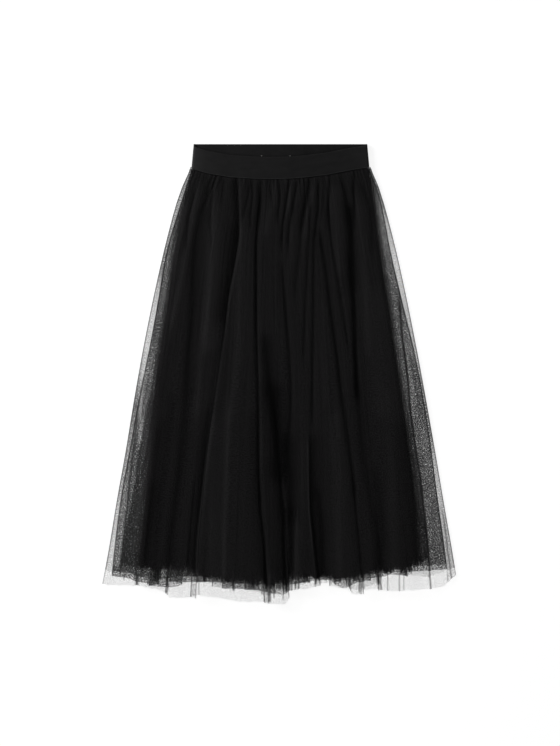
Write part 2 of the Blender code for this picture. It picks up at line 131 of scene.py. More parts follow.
# Where the front's creases run, from the photo: (drop, across) along each.
LINES = {
    "left_valley": (
        (74, -125), (98, -129), (112, -135), (126, -140), (140, -142), (160, -147), (182, -149), (221, -152),
        (265, -151), (317, -155), (361, -159), (431, -163), (483, -166), (536, -172), (588, -177),
        (641, -184), (693, -191), (737, -194),
    ),
    "long_valley": (
        (67, -74), (133, -72), (165, -72), (212, -80), (268, -91), (329, -98), (378, -106), (448, -116),
        (527, -128), (609, -137), (693, -146), (737, -148),
    ),
    "left_of_middle": (
        (74, -36), (98, -34), (112, -36), (137, -39), (160, -41), (186, -42), (291, -42), (361, -41),
        (431, -39), (536, -38), (588, -37), (641, -34), (693, -28), (732, -26),
    ),
    "middle_valley": (
        (343, -26), (396, -20), (431, -15), (483, -8), (536, -5), (588, -1), (641, 5), (693, 7), (732, 9),
    ),
    "right_of_middle": ((221, 4), (291, 10), (361, 16), (431, 19), (483, 18), (536, 12), (588, 10)),
    "short_line": ((109, 54), (126, 52), (160, 51), (221, 47), (291, 44), (364, 41)),
    "straight_line": ((160, 60), (221, 58), (291, 58), (361, 57), (431, 56), (483, 55)),
    "right_line": (
        (160, 70), (221, 80), (291, 88), (361, 98), (431, 106), (483, 114), (536, 121), (588, 128),
        (641, 132), (693, 138), (732, 141),
    ),
    "upper_right_line": ((112, 84), (160, 88), (221, 98), (291, 110), (352, 119)),
    "black_head_left": ((74, 110), (84, 115), (98, 117), (119, 118), (140, 122)),
    "black_head_right": ((56, 130), (84, 128), (102, 130), (137, 130)),
    "black_valley": (
        (112, 122), (140, 125), (177, 125), (221, 126), (291, 130), (361, 132), (431, 135), (483, 140),
        (536, 145), (588, 154), (641, 164), (693, 173), (737, 174),
    ),
    "soft_right_valley": ((571, 170), (623, 177), (676, 180), (732, 178)),
    "top_right_line": ((74, 144), (84, 148), (98, 154), (112, 158), (133, 160), (186, 161)),
    "low_right_line": ((515, 52), (571, 52), (632, 53), (702, 60), (760, 66)),
    "low_right_shade": ((609, 66), (644, 72), (676, 74), (742, 74)),
    "low_middle_band": ((515, 13), (545, 15), (588, 18), (641, 19), (693, 20), (737, 19)),
    "low_left_band": ((492, -206), (536, -213), (588, -220), (641, -224), (693, -231), (728, -235)),
    "thin_low_line": ((597, -149), (650, -154), (732, -161)),
    "right_side": ((492, 215), (606, 229), (732, 236)),
    "left_side": ((448, -187), (536, -196), (641, -208), (728, -215)),
    "gather_1": ((84, -149), (98, -152), (126, -160), (151, -162), (177, -163)),
    "gather_2": ((70, -116), (112, -121), (140, -122), (177, -119)),
    "gather_3": ((70, -98), (84, -100), (98, -102)),
    "gather_4": ((77, -55), (98, -56), (112, -61), (126, -64)),
    "gather_5": ((63, -50), (84, -48), (102, -48), (116, -52), (140, -52)),
    "gather_6": ((70, -19), (84, -16), (98, -14)),
    "gather_7": ((70, -2), (95, 1), (112, -4), (130, -4)),
    "gather_8": ((70, 16), (98, 11), (112, 10), (142, 4), (175, 3)),
    "gather_9": ((70, 30), (98, 24), (112, 23), (140, 16), (177, 14)),
    "gather_10": ((70, 50), (84, 49), (112, 43), (144, 38), (207, 32), (256, 26)),
    "gather_11": ((70, 67), (112, 67), (140, 63), (161, 60)),
    "gather_12": ((67, 87), (91, 85), (119, 84), (140, 86)),
    "gather_13": ((91, 76), (126, 72)),
    "left_crest": ((81, -142), (112, -148), (144, -153), (168, -158), (221, -167), (291, -181), (319, -187)),
    "left_edge_crest": ((107, -161), (126, -166), (154, -170), (182, -178), (221, -182)),
    "upper_crest": ((81, -115), (98, -117), (125, -114), (221, -116), (287, -121), (352, -127)),
    "mid_left_crest": ((364, -136), (396, -138), (431, -140), (475, -145)),
    "left_panel": ((142, -68), (221, -68), (291, -70), (361, -72), (431, -79), (475, -86)),
    "panel_crest": ((475, -86), (536, -89), (606, -91), (693, -95), (732, -95)),
    "low_panel_crest": ((483, -114), (571, -119), (658, -119), (739, -117)),
    "low_middle_edge": ((536, 32), (580, 35), (632, 32), (693, 29), (737, 30)),
    "narrow_panel": ((527, 40), (641, 37), (737, 33)),
    "low_right_edge": ((525, 50), (588, 51), (641, 52), (693, 57)),
    "low_right_panel": ((475, 100), (536, 98), (588, 105), (742, 107)),
    "far_right_crest": ((440, 189), (536, 196), (728, 200)),
    "black_valley_crest": ((107, 136), (140, 138), (168, 145), (207, 150), (361, 156)),
    "right_panel": ((256, 170), (361, 177), (469, 184)),
    "middle_panel": ((77, -7), (98, -10), (126, -18), (154, -23)),
    "between_right_lines": ((273, 75), (378, 79), (448, 82)),
    "valley_edge": ((501, -16), (539, -10), (574, -4), (609, 3), (676, 5)),
    "gather_crest_1": ((74, 19), (98, 18), (112, 15)),
    "gather_crest_2": ((77, 60), (98, 59), (112, 52), (130, 47), (165, 46)),
    "gather_crest_3": ((81, 94), (119, 100), (177, 103), (221, 107)),
    "gather_crest_4": ((137, 24), (177, 22), (221, 18)),
    "right_strip_fold": (
        (277, 210), (335, 214), (377, 220), (419, 225), (461, 228), (503, 234), (545, 240), (587, 247),
        (629, 251), (671, 256), (713, 260), (758, 263),
    ),
    "left_strip_fold": (
        (419, -246), (461, -250), (503, -251), (545, -257), (587, -262), (629, -266), (671, -271),
        (713, -275), (758, -279),
    ),
    "left_dense_fold": (
        (452, -230), (503, -238), (545, -245), (587, -251), (629, -258), (671, -269), (713, -276),
        (755, -281),
    ),
    "left_lens": ((335, -231), (377, -235), (419, -240), (461, -243), (503, -243), (518, -245)),
    "right_hem_line": ((650, 286), (676, 290), (713, 294), (751, 300)),
}

# How deep each trough cuts and how far it reaches to its left and right, where one number can stand for both,
# and between which drops where it is cut short. The troughs cut the outer front net's crown and paint shade
# into every sheet's colour.
Crease = namedtuple("Crease", "line strength left right starts ends", defaults=(None, 0, 900))
TROUGHS = tuple(Crease(*row) for row in (
    ("left_valley", 0.55, 6, 12), ("long_valley", 0.7, 8, 1.6, 0, 190),
    ("long_valley", 0.85, 16, 1.6, 145, 310), ("long_valley", 0.45, 6, 1.6, 0, 640),
    ("long_valley", 0.6, 12, 2.5, 470), ("left_of_middle", 0.6, 4.5, 4.5, 0, 140),
    ("left_of_middle", 0.85, 3, 3.6, 100), ("left_of_middle", 0.35, 16, 3, 480),
    ("middle_valley", 0.62, 9, 16, 0, 440), ("middle_valley", 1, 13, 20, 425, 585),
    ("middle_valley", 0.85, 5, 4.5, 570), ("middle_valley", 0.42, 26, 2, 560), ("right_of_middle", 0.5, 4),
    ("short_line", 0.4, 3, 3.5), ("straight_line", 0.45, 3, 4.5), ("right_line", 0.6, 3.5, 5.5, 0, 610),
    ("right_line", 0.42, 4, 6, 600), ("upper_right_line", 0.45, 2.8), ("black_head_left", 0.6, 5),
    ("black_head_right", 0.65, 2.8), ("black_valley", 0.97, 8.5, 7.5, 0, 250),
    ("black_valley", 1, 5.2, 5, 205, 440), ("black_valley", 0.45, 8, 10, 420), ("soft_right_valley", 0.3, 8),
    ("top_right_line", 0.4, 4), ("low_right_line", 0.65, 1.2, 19), ("low_right_shade", 0.5, 7, 8),
    ("low_middle_band", 0.66, 12, 18, 0, 660), ("low_middle_band", 0.62, 10, 10, 640),
    ("low_left_band", 0.38, 9, 13), ("low_left_band", 0.4, 9, 13, 600), ("thin_low_line", 0.35, 2),
    ("right_side", 0.35, 14, 16), ("left_side", 0.3, 12), ("gather_1", 0.4, 3.5), ("gather_2", 0.35, 3),
    ("gather_3", 0.35, 3), ("gather_4", 0.45, 2.8), ("gather_5", 0.5, 2.5), ("gather_6", 0.35, 3),
    ("gather_7", 0.55, 3), ("gather_8", 0.65, 2.6), ("gather_9", 0.55, 3), ("gather_10", 0.65, 5, 4, 0, 145),
    ("gather_10", 0.4, 3.5, 3.5, 100), ("gather_11", 0.65, 3.2), ("gather_12", 0.55, 3),
    ("gather_13", 0.35, 2.5),
))

# Crests, told the same way: they raise the outer front net's crown a little and paint highlights into every
# sheet's colour.
CRESTS = tuple(Crease(*row) for row in (
    ("left_crest", 0.48, 5), ("left_edge_crest", 0.35, 4), ("upper_crest", 0.45, 9),
    ("upper_crest", 0.42, 8, 8, 150, 360), ("long_valley", 0.25, 0.5, 4, 60, 280), ("left_panel", 0.3, 8, 9),
    ("mid_left_crest", 0.32, 6), ("long_valley", 0.25, 0.5, 6, 380, 500), ("low_panel_crest", 0.25, 12),
    ("panel_crest", 0.4, 6), ("left_of_middle", 0.25, 0.5, 4.5, 330, 560),
    ("left_of_middle", 0.08, 0.5, 5, 560), ("low_middle_edge", 0.14, 2.5, 2.5, 660),
    ("narrow_panel", 0.18, 7), ("low_right_edge", 0.38, 1.4), ("low_right_panel", 0.25, 9),
    ("far_right_crest", 0.15, 9), ("black_valley_crest", 0.3, 8), ("right_panel", 0.2, 16),
    ("middle_panel", 0.3, 6), ("between_right_lines", 0.12, 6), ("valley_edge", 0.35, 1.4),
    ("gather_crest_1", 0.4, 2.6), ("gather_crest_2", 0.35, 3.2), ("gather_crest_3", 0.28, 8),
    ("gather_crest_4", 0.15, 4.5),
))
LINE_FADE = 30.0
LINE_SOFTENING = 12.0
RELIEF_EDGE = 18.0
RELIEF_SHIFT = 2.5
RELIEF_LOSS = 0.45
RELIEF_LOSS_DROP = 110.0

# Gathers under the band.
GATHERS = 32
GATHER_RISE = 1.8
# Share of painted shade in the dips between the gathers.
GATHER_PAINTED_SHADE = 0.3
GATHER_REACH = 22.0
GATHER_REACH_SWING = 10.0

# Fine ripples: the waves that are added up, the width that their pitch is told for and their usual peak.
STREAK_WAVES = 7
STREAK_WIDTH = 560.0
STREAK_PEAK = 3.2

# Fold-overs, where the net doubles back on itself. Each widens down its line, from where it starts to the
# hem. A turn of 1 laps the right-hand part over the left, and -1 the left over the right.
WAIST_DROP = 62.0
MIDDLE_DROP = 395.0
HEM_DROP = 736.0
Fold = namedtuple("Fold", "line overlap starts lift turn")


def hanging(lift, waist, middle, hem, overlap, starts, turn):
    """Fold down a plain line through its places at the waist, the middle and the hem."""
    line = ((WAIST_DROP, waist), (MIDDLE_DROP, middle), (HEM_DROP, hem))
    return Fold(line, overlap, starts, lift, turn)


OUTER_FRONT_FOLDS = tuple(Fold(LINES[name], *row) for name, *row in (
    ("left_valley", 3, 330, 1, 1), ("long_valley", 9, 90, 1.4, -1), ("left_of_middle", 7, 320, 1, 1),
    ("middle_valley", 9, 400, 2, -1), ("low_middle_edge", 6, 600, 0.5, 1),
    ("low_right_line", 8, 500, 1.8, 1), ("right_line", 4, 380, 1.4, 1), ("black_valley", 5, 120, 1.8, 1),
))
OUTER_BACK_FOLDS = tuple(hanging(0.5, *row) for row in (
    (-118, -172, -218, 16, 220, -1), (-90, -130, -170, 18, 160, 1), (-58, -80, -104, 20, 260, -1),
    (-20, -35, -44, 16, 120, 1), (20, 26, 33, 20, 240, -1), (60, 80, 96, 18, 200, 1),
    (98, 136, 163, 14, 150, -1), (126, 180, 220, 18, 220, 1),
))
INNER_FRONT_FOLDS = tuple(hanging(0.5, *row) for row in (
    (-116, -172, -216, 16, 160, -1), (-95, -140, -178, 20, 200, 1), (-70, -102, -133, 16, 140, 1),
    (-45, -66, -88, 18, 220, -1), (-22, -32, -50, 16, 160, 1), (8, 6, 6, 20, 220, -1),
    (30, 42, 46, 14, 120, 1), (58, 84, 104, 20, 200, -1), (84, 124, 150, 14, 180, 1),
    (108, 152, 190, 18, 140, 1), (128, 178, 218, 14, 160, -1),
))
INNER_BACK_FOLDS = tuple(hanging(0.4, *row) for row in (
    (-122, -176, -222, 16, 90, 1), (-100, -150, -205, 20, 200, -1), (-72, -108, -150, 18, 140, 1),
    (-34, -50, -68, 20, 200, -1), (-4, -12, -16, 16, 120, 1), (38, 54, 74, 20, 160, -1),
    (72, 104, 128, 18, 120, 1), (104, 150, 180, 16, 200, -1), (130, 182, 224, 14, 90, 1),
))

# Where the front layers come down beside the layers that end under them.
LAYER_STEP = 1.3
FALL_HEAD = 0.3
FALL_FOOT = 0.8
FALL = 2 * LAYER_STEP

# Resting heights of the thin layers.
LAYER_Z = {
    "outer_back": 0.35, "inner_back": 1.65, "lining_back": 3.0,
    "lining_front": 4.4, "inner_front": 5.6, "outer_front": 7.0,
}

COLUMNS = {"outer": 720, "inner": 720, "lining": 400}
ROW_STRETCHES = ((0.0, 0.16, 27), (0.16, 0.9, 46), (0.9, 1.0, 36))
CREASE_WIDTH = 1.0
TURN_REACH = 14

# Layers beyond the first that each outer sheet shows in the strips beside the inner net: (drop, left, right).
SIDE_LAYERS = np.array((
    (40, 3, 3.5), (98, 1.6, 3), (140, 1.4, 0.9), (190, 2.6, 0.3), (215, 3, 0.2), (250, 0.6, 0.3),
    (300, 0.1, 0.4), (350, 0.1, 0.9), (400, 0.7, 1.8), (460, 3.4, 3.2), (505, 2, 3), (540, 1.6, 1),
    (586, 1.5, 0.6), (640, 0.5, 0.8), (700, 0.1, 1), (803, 0, 0.6),
))

# The same for each inner sheet between its side edge and the lining.
INNER_LAYERS = np.array((
    (40, 5, 4), (120, 3.4, 2.2), (166, 3, 2.5), (208, 2.8, 3), (255, 3.1, 3.2), (300, 3.4, 2.6),
    (334, 3.8, 2.5), (376, 2.5, 2.9), (440, 2.4, 3.2), (502, 2.6, 3.2), (560, 2.5, 3.2), (628, 2.1, 3.5),
    (712, 1.9, 3.8), (803, 1.5, 3.4),
))

# Folds that lie in those strips: the layers that each inner sheet has more from there inwards, at its start
# and at the hem, the width over which they come in, and how far the fold's own line covers.
SideFold = namedtuple("SideFold", "line at_start at_hem ramp cover")
SIDE_FOLDS = tuple(SideFold(*row) for row in (
    ("right_strip_fold", 0.8, 7, 2.5, 1), ("left_strip_fold", 0.8, 3.4, 5, 0.6),
    ("left_dense_fold", 2.8, 3.6, 5, 0.3),
))
LENS_LAYERS = 2.2
LENS_REACH = 4.5
BY_LINING_LAYERS = 5.0
BY_LINING_RAMP = 9.0
LINE_WIDTH = 1.5
OUTER_LINES = (("right_hem_line", 1.15), ("right_strip_fold", 1.3))
BODY_LAYERS = 1.5
BODY_EDGE = 14.0
# Painted shading of the sheets: its plain level, the darkest painted shade in the troughs and the brightest
# painted light.
PLAIN_PAINTED_SHADING = 0.62
DARKEST_PAINTED_SHADE = 0.05
BRIGHTEST_PAINTED_LIGHT = 1.3
FRONT_RIPPLE = 0.11
NET_RIPPLE = 0.15
LINING_RIPPLE = 0.3
BACK_WIDTH = 0.97


def new_object(name, data):
    item = bpy.data.objects.new(name, data)
    bpy.context.scene.collection.objects.link(item)
    return item


def smooth(share):
    share = np.clip(share, 0.0, 1.0)
    return share * share * (3.0 - 2.0 * share)


def read(table, key, column=1):
    return np.interp(key, table[:, 0], table[:, column])


def bell(away):
    return np.exp(-(away ** 2))


def grown(starts, drop):
    """How far a fold has widened down its line: 0 where it starts and 1 near the hem."""
    return np.clip((drop - starts) / (HEM_DROP - starts), 0.0, 1.1)


def begun(starts, drop):
    """0 above where a line starts, fading in to 1 below it."""
    return smooth((drop - starts) / LINE_FADE + 0.7)


def edge(name, side, drop):
    """Side edge of a layer, softened where the table's straight stretches meet."""
    column = EDGE_COLUMN[name] + side
    window = np.clip((drop - SECTIONS[0, 0]) * 0.5, 0.0, EDGE_SOFTENING)
    before = read(SECTIONS, drop - window, column)
    after = read(SECTIONS, drop + window, column)
    return (before + 2.0 * read(SECTIONS, drop, column) + after) / 4.0


def inside_by(name, x, drop):
    """How far a point lies inside the nearer side edge of a layer."""
    return np.minimum(x - edge(name, 0, drop), edge(name, 1, drop) - x)


def band_bottom(x):
    return read(BAND_DIP, BAND_CENTRE + (x - BAND_CENTRE) / BAND_FLARE) + BAND_DEPTH


def line_at(line, drop):
    """x of a crease's line at any drop, softened at its points and carried on straight past its ends."""
    points = np.array(line, dtype=float)
    first = (points[1, 1] - points[0, 1]) / (points[1, 0] - points[0, 0])
    last = (points[-1, 1] - points[-2, 1]) / (points[-1, 0] - points[-2, 0])
    x = np.zeros_like(drop)
    for shift, share in ((-LINE_SOFTENING, 0.25), (0.0, 0.5), (LINE_SOFTENING, 0.25)):
        x += share * np.interp(drop + shift, points[:, 0], points[:, 1])
    x += first * np.minimum(drop - points[0, 0], 0.0) + last * np.maximum(drop - points[-1, 0], 0.0)
    return x


def crease_share(x, drop, row):
    """1 along a crease, fading to 0 on both sides and at its two ends."""
    line = LINES[row.line]
    starts = max(row.starts, line[0][0])
    ends = min(row.ends, line[-1][0])
    shows = begun(starts, drop)
    if ends < HEM_DROP - LINE_FADE:
        shows = shows * smooth((ends - drop) / LINE_FADE + 0.7)
    away = x - line_at(line, drop)
    away = np.where(away < 0.0, -away / row.left, away / (row.right or row.left))
    return shows * np.exp(-(away ** 1.5))


def trough_share(x, drop):
    """How much of the crown is left at a point, after every trough has taken its part."""
    left = np.ones_like(x)
    for row in TROUGHS:
        left *= 1.0 - row.strength * crease_share(x, drop, row)
    return left


def crest_share(x, drop):
    return sum(row.strength * crease_share(x, drop, row) for row in CRESTS)


def gather_wave(share, down):
    """Gathers under the band as a wave from 0 to 1, and how far each still shows below the seam."""
    lean = 0.7 * np.sin(9.0 * share + down / 60.0) + 0.5 * np.sin(23.0 * share - down / 38.0)
    lean = smooth(down / 70.0) * lean
    place = share * GATHERS + lean + 0.8 * np.sin(13.0 * share) + 0.4 * np.sin(41.0 * share)
    number = np.floor(place)
    strength = 0.6 + 0.4 * np.sin(2.1 * number + 0.4 * number * number)
    reach = GATHER_REACH + GATHER_REACH_SWING * np.sin(1.3 * number)
    wave = 0.5 - 0.5 * np.cos(2.0 * np.pi * place)
    return wave, strength * np.exp(-down / reach)


def streaks(share, down, seed, pitch=9.0):
    """Fine ripples that run down the cloth and wander a little, from -1 to 1."""
    rng = np.random.default_rng(seed)
    total = np.zeros_like(share)
    for _ in range(STREAK_WAVES):
        count = STREAK_WIDTH / (pitch * rng.uniform(0.55, 1.9))
        phase = rng.uniform(0.0, 2.0 * np.pi)
        drift = rng.uniform(-1.6, 1.6)
        bend = rng.uniform(0.4, 1.4)
        total += np.sin(2.0 * np.pi * count * share + phase + drift * np.sin(bend * down / 170.0 + phase))
    return total / STREAK_PEAK


def front_base(x, drop, layer):
    """Height of a front net's flat parts, with its fall beside the layers that end under it."""
    height = np.full_like(x, LAYER_Z[layer])
    steps = [("inner", "lining")]
    if layer == "outer_front":
        steps.append(("outer", "inner"))
    for own, under in steps:
        for side, sign in ((0, -1.0), (1, 1.0)):
            outside = edge(own, side, drop)
            inside = edge(under, side, drop)
            room = np.abs(outside - inside) + 0.01
            past = sign * (x - inside) / room
            fall = np.minimum(FALL, (FALL_FOOT - FALL_HEAD) * room)
            height -= fall * smooth((past - FALL_HEAD) / (FALL_FOOT - FALL_HEAD))
    return height


def row_shares():
    """Shares down the cloth, closer together under the band and near the hem."""
    parts = [np.linspace(start, end, count)[:-1] for start, end, count in ROW_STRETCHES]
    return np.append(np.concatenate(parts), 1.0)


def fold_over(x_flat, drop, folds):
    """Moves flat x so that the net doubles back along each fold, and gives the lift of what lies on top."""
    moved = x_flat.copy()
    lift = np.zeros_like(x_flat)
    for fold in folds:
        share = grown(fold.starts, drop)
        overlap = fold.overlap * share
        half = 0.5 * overlap + 2.0 * (1.0 - np.minimum(share, 1.0)) + 0.2
        away = (x_flat - line_at(fold.line, drop)) / half
        moved -= overlap * away * np.exp(0.5 - 0.5 * away * away)
        side = away * fold.turn
        rise = 0.5 + 0.5 * np.tanh(1.6 * side)
        lift += fold.lift * np.minimum(1.0, 3.0 * share) * rise * bell(np.maximum(side, 0.0) / 4.0)
    return moved, lift


def three_deep(x, drop, folds):
    """1 where the net lies on itself at a fold-over, and 0 away from it."""
    deep = np.zeros_like(x)
    for fold in folds:
        reach = 0.5 * fold.overlap * grown(fold.starts, drop) - np.abs(x - line_at(fold.line, drop))
        deep = np.maximum(deep, smooth(reach / 3.0 + 0.5))
    return deep


def turning_creases(x):
    """1 on the lines where the net turns back on itself, and 0 away from them."""
    crease = np.zeros_like(x)
    step = np.diff(x, axis=1)
    for row in range(x.shape[0]):
        turns = np.nonzero(step[row, :-1] * step[row, 1:] < 0.0)[0] + 1
        for turn in turns:
            low = max(0, turn - TURN_REACH)
            high = turn + TURN_REACH + 1
            near = bell((x[row, low:high] - x[row, turn]) / CREASE_WIDTH)
            crease[row, low:high] = np.maximum(crease[row, low:high], near)
    return crease


def mesh_from_grid(name, x, drop, z, attributes):
    """Mesh of one open sheet from grids of points, with cloth coordinates as its UV map."""
    rows, columns = x.shape
    points = np.stack((x, LENGTH / 2 - drop, z), axis=-1).reshape(-1, 3) * MM
    index = np.arange(rows * columns).reshape(rows, columns)
    corners = (index[:-1, :-1], index[1:, :-1], index[1:, 1:], index[:-1, 1:])
    corners = np.stack(corners, axis=-1).reshape(-1, 4)
    mesh = bpy.data.meshes.new(name)
    mesh.vertices.add(len(points))
    mesh.vertices.foreach_set("co", points.astype(np.float32).ravel())
    mesh.loops.add(corners.size)
    mesh.loops.foreach_set("vertex_index", corners.astype(np.int32).ravel())
    mesh.polygons.add(len(corners))
    mesh.polygons.foreach_set("loop_start", np.arange(0, corners.size, 4, dtype=np.int32))
    mesh.update(calc_edges=True)
    mesh.validate()
    mesh.shade_smooth()
    along = np.hypot(np.diff(x[-1]), np.diff(z[-1]))
    cloth_across = np.concatenate(((0.0,), np.cumsum(along)))
    cloth = np.stack((np.broadcast_to(cloth_across, x.shape), drop), axis=-1).reshape(-1, 2) * MM
    layer = mesh.uv_layers.new(name="cloth")
    layer.data.foreach_set("uv", cloth[corners.ravel()].astype(np.float32).ravel())
    for key, values in attributes.items():
        attribute = mesh.attributes.new(key, "FLOAT", "POINT")
        attribute.data.foreach_set("value", values.astype(np.float32).ravel())
    return new_object(name, mesh)


def hem_at(table, ripple, seed, rise=0.0, folds=(), frayed=False):
    """Gives a hem's drop at a share and x: its table, its ripple, and the folds and threads that hang."""

    def bottom(share, x):
        drop = read(table, x) - rise + ripple * streaks(share, np.zeros_like(share), seed, 15.0)
        for fold in folds:
            hangs = SPIKE * min(1.0, fold.overlap / SPIKE_OVERLAP)
            drop += hangs * bell((x - line_at(fold.line, drop)) / SPIKE_WIDTH)
        if frayed:
            drop += THREAD_REACH * threads(x, seed)
        return drop

    return bottom


def cloth_grid(edges, front, hem):
    """Flat grid of one layer: x, drop, share across and distance down from its seam."""
    share = np.linspace(0.0, 1.0, COLUMNS[edges])[None, :]

    def across(drop):
        return edge(edges, 0, drop) * (1.0 - share) + edge(edges, 1, drop) * share

    x_seam = across(BAND_DEPTH + 1.0)
    seam = band_bottom(x_seam) if front else np.full_like(x_seam, BAND_DEPTH)
    drop = seam + row_shares()[:, None] * (hem(share, across(LENGTH - BAND_DEPTH)) - seam)
    return across(drop), drop, np.broadcast_to(share, drop.shape), drop - seam


def panels(share, seed, count):
    """Flat panels of differing density, from -1 to 1, that run down the cloth with crisp edges."""
    rng = np.random.default_rng(seed)
    value = rng.uniform(-1.0, 1.0)
    total = np.full_like(share, value)
    for i in range(1, count):
        place = (i + rng.uniform(-0.38, 0.38)) / count
        ahead = rng.uniform(-1.0, 1.0)
        total += (ahead - value) * (0.5 + 0.5 * np.tanh((share - place) / PANEL_BLUR))
        value = ahead
    return total


def edge_lines(x, edges, drop):
    """1 on a sheet's own side edges, where it turns round to the other side, and 0 away from them."""
    return bell(inside_by(edges, x, drop) / LINE_WIDTH)


def shown_line(x, drop, name, cover):
    """Cover along one named line from where it starts, and 0 away from it."""
    line = LINES[name]
    return cover * begun(line[0][0], drop) * bell((x - line_at(line, drop)) / LINE_WIDTH)


def hem_lines(x, drop):
    """Cover of the fold edges that show where only the front net hangs below the rest."""
    cover = np.zeros_like(x)
    for across, ends, strength, width in HEM_LINES:
        shows = smooth((ends - drop) / 5.0 + 0.5) * smooth((drop - HEM_LINE_START) / 14.0)
        cover = np.maximum(cover, strength * shows * bell((x - across) / width))
    return cover


def threads(x, seed):
    """Lengths of the loose threads and corners at a frayed end, from 0 to 1: many short and a few long."""
    rng = np.random.default_rng(seed)
    places = np.arange(-LENGTH / 2, LENGTH / 2, THREAD_PITCH / 2)
    lengths = rng.uniform(0.0, 1.0, len(places)) ** 2.5
    lengths[::2] *= 0.15
    return np.interp(x, places, lengths)


def above_end(table, x, drop, seed):
    """1 above a ragged end that follows a table, and 0 below it."""
    return smooth((read(table, x) + THREAD_REACH * threads(x, seed) - drop) / THREAD_FADE + 0.5)


def side_fold_layers(x, drop):
    """Layers that the strips' folds add from their lines inwards, less the thin lens by the left edge."""
    total = np.zeros_like(x)
    for fold in SIDE_FOLDS:
        line = LINES[fold.line]
        starts, side = line[0]
        inwards = np.sign(side) * (line_at(line, drop) - x)
        layers = fold.at_start + (fold.at_hem - fold.at_start) * grown(starts, drop) ** 2
        layers *= x * side > 0.0
        total += layers * begun(starts, drop) * smooth(inwards / fold.ramp + 0.5)
    lens = Crease("left_lens", LENS_LAYERS, LENS_REACH)
    total -= lens.strength * crease_share(x, drop, lens)
    return total + BY_LINING_LAYERS * smooth(inside_by("lining", x, drop) / BY_LINING_RAMP + 1.0)


def by_side(table, x, drop):
    """A table's left value on the left of the skirt and its right value on the right."""
    return np.where(x < 0.0, read(table, drop), read(table, drop, 2))


def outer_layers(x, drop, share, end_seed, uneven, panel_seed, count):
    """Layers beyond the first that an outer net shows, over the lining and beside the inner net."""
    body = BODY_LAYERS * smooth(inside_by("lining", x, drop) / BODY_EDGE + 0.3)
    body *= above_end(LINING_HEM, x, drop, end_seed) * (1.0 + uneven * panels(share, panel_seed, count))
    return body + by_side(SIDE_LAYERS, x, drop) * smooth(1.0 - inside_by("inner", x, drop) / 3.0)


def painted_fold_shading(x, drop, share, down):
    """Painted light on the crests of the folds and gathers, and painted shade in the troughs between them."""
    wave, shows = gather_wave(share, down)
    painted_shading = (PLAIN_PAINTED_SHADING + crest_share(x, drop)) * (DARKEST_PAINTED_SHADE + (1.0 - DARKEST_PAINTED_SHADE) * trough_share(x, drop))
    return painted_shading * (1.0 - GATHER_PAINTED_SHADE * shows * (1.0 - wave))


def lay_sheet(node, cloth, grid, values, material):
    """Puts a sheet in place of its solid."""
    # Painted light and shade of the sheet, kept between none and the brightest painted light.
    values["painted_shading"] = np.clip(values["painted_shading"], 0.0, BRIGHTEST_PAINTED_LIGHT)
    item = mesh_from_grid(node + cloth, *grid, values)
    item.data.materials.append(material)
    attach(item, "root")
    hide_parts(node)


def lay_net(node, grid, painted_shading, creases, layers, shift):
    material = net_material(node.replace("tulle", "net"), shift)
    values = {"painted_shading": painted_shading, "crease": np.maximum.reduce(creases), "layers": np.maximum(layers, 0.0)}
    lay_sheet(node, "_net", grid, values, material)


def outer_front():
    """The net that shows: every crease of the photo in its form, and the hem's fold edges in its cover."""
    hem = hem_at(FRONT_HEM, 0.8, 3, folds=OUTER_FRONT_FOLDS)
    x, drop, share, down = cloth_grid("outer", True, hem)
    x, lift = fold_over(x, drop, OUTER_FRONT_FOLDS)
    loss = RELIEF_LOSS * smooth((drop - RELIEF_LOSS_DROP) / 60.0 + 0.5)
    relief = 1.0 - (1.0 - loss) * (1.0 - trough_share(x - RELIEF_SHIFT, drop))
    crown = read(CROWN, drop) * relief * (0.82 + 0.4 * crest_share(x, drop))
    wave, shows = gather_wave(share, down)
    ripple = streaks(share, down, 11)
    z = front_base(x, drop, "outer_front") + lift
    z += smooth(inside_by("lining", x, drop) / RELIEF_EDGE + 0.5) * (crown + GATHER_RISE * wave * shows)
    z += FRONT_RIPPLE * ripple * smooth(down / 60.0)
    layers = outer_layers(x, drop, share, 61, 0.12, 51, 34)
    creases = [turning_creases(x), edge_lines(x, "outer", drop), hem_lines(x, drop)]
    creases += [shown_line(x, drop, name, cover) for name, cover in OUTER_LINES]
    # Painted shading of the folds and gathers, with a little more painted shading along the fine ripples.
    painted_shading = painted_fold_shading(x, drop, share, down) * (1.0 + 0.035 * ripple)
    lay_net("tulle_outer_front", (x, drop, z), painted_shading, creases, layers, 3.0)


def side_seen(x, front):
    """x as the crease tables take it: the back has the front's creases the other way round."""
    return x if front else -BACK_WIDTH * x


def inner_layers(x, drop, share, folds, seed):
    """Layers beyond the first that an inner net shows, down to where its folds and then its hem end."""
    upper = by_side(INNER_LAYERS, x, drop) + side_fold_layers(x, drop)
    upper *= smooth(inside_by("inner", x, drop) / 2.5 + 0.4) * (1.0 + 0.12 * panels(share, seed, 30))
    whole = above_end(LINING_HEM, x, drop, seed + 60)
    folded = above_end(FOLDS_END, x, drop, seed + 70)
    hem = HEM_LAYERS * (1.0 + HEM_PANELS * panels(share, seed + 80, 24))
    low = LOW_LAYERS * folded + hem * (1.0 - folded)
    low *= 1.0 - HEM_FOLD_LOSS * three_deep(x, drop, folds)
    return upper * whole + low * (1.0 - whole)


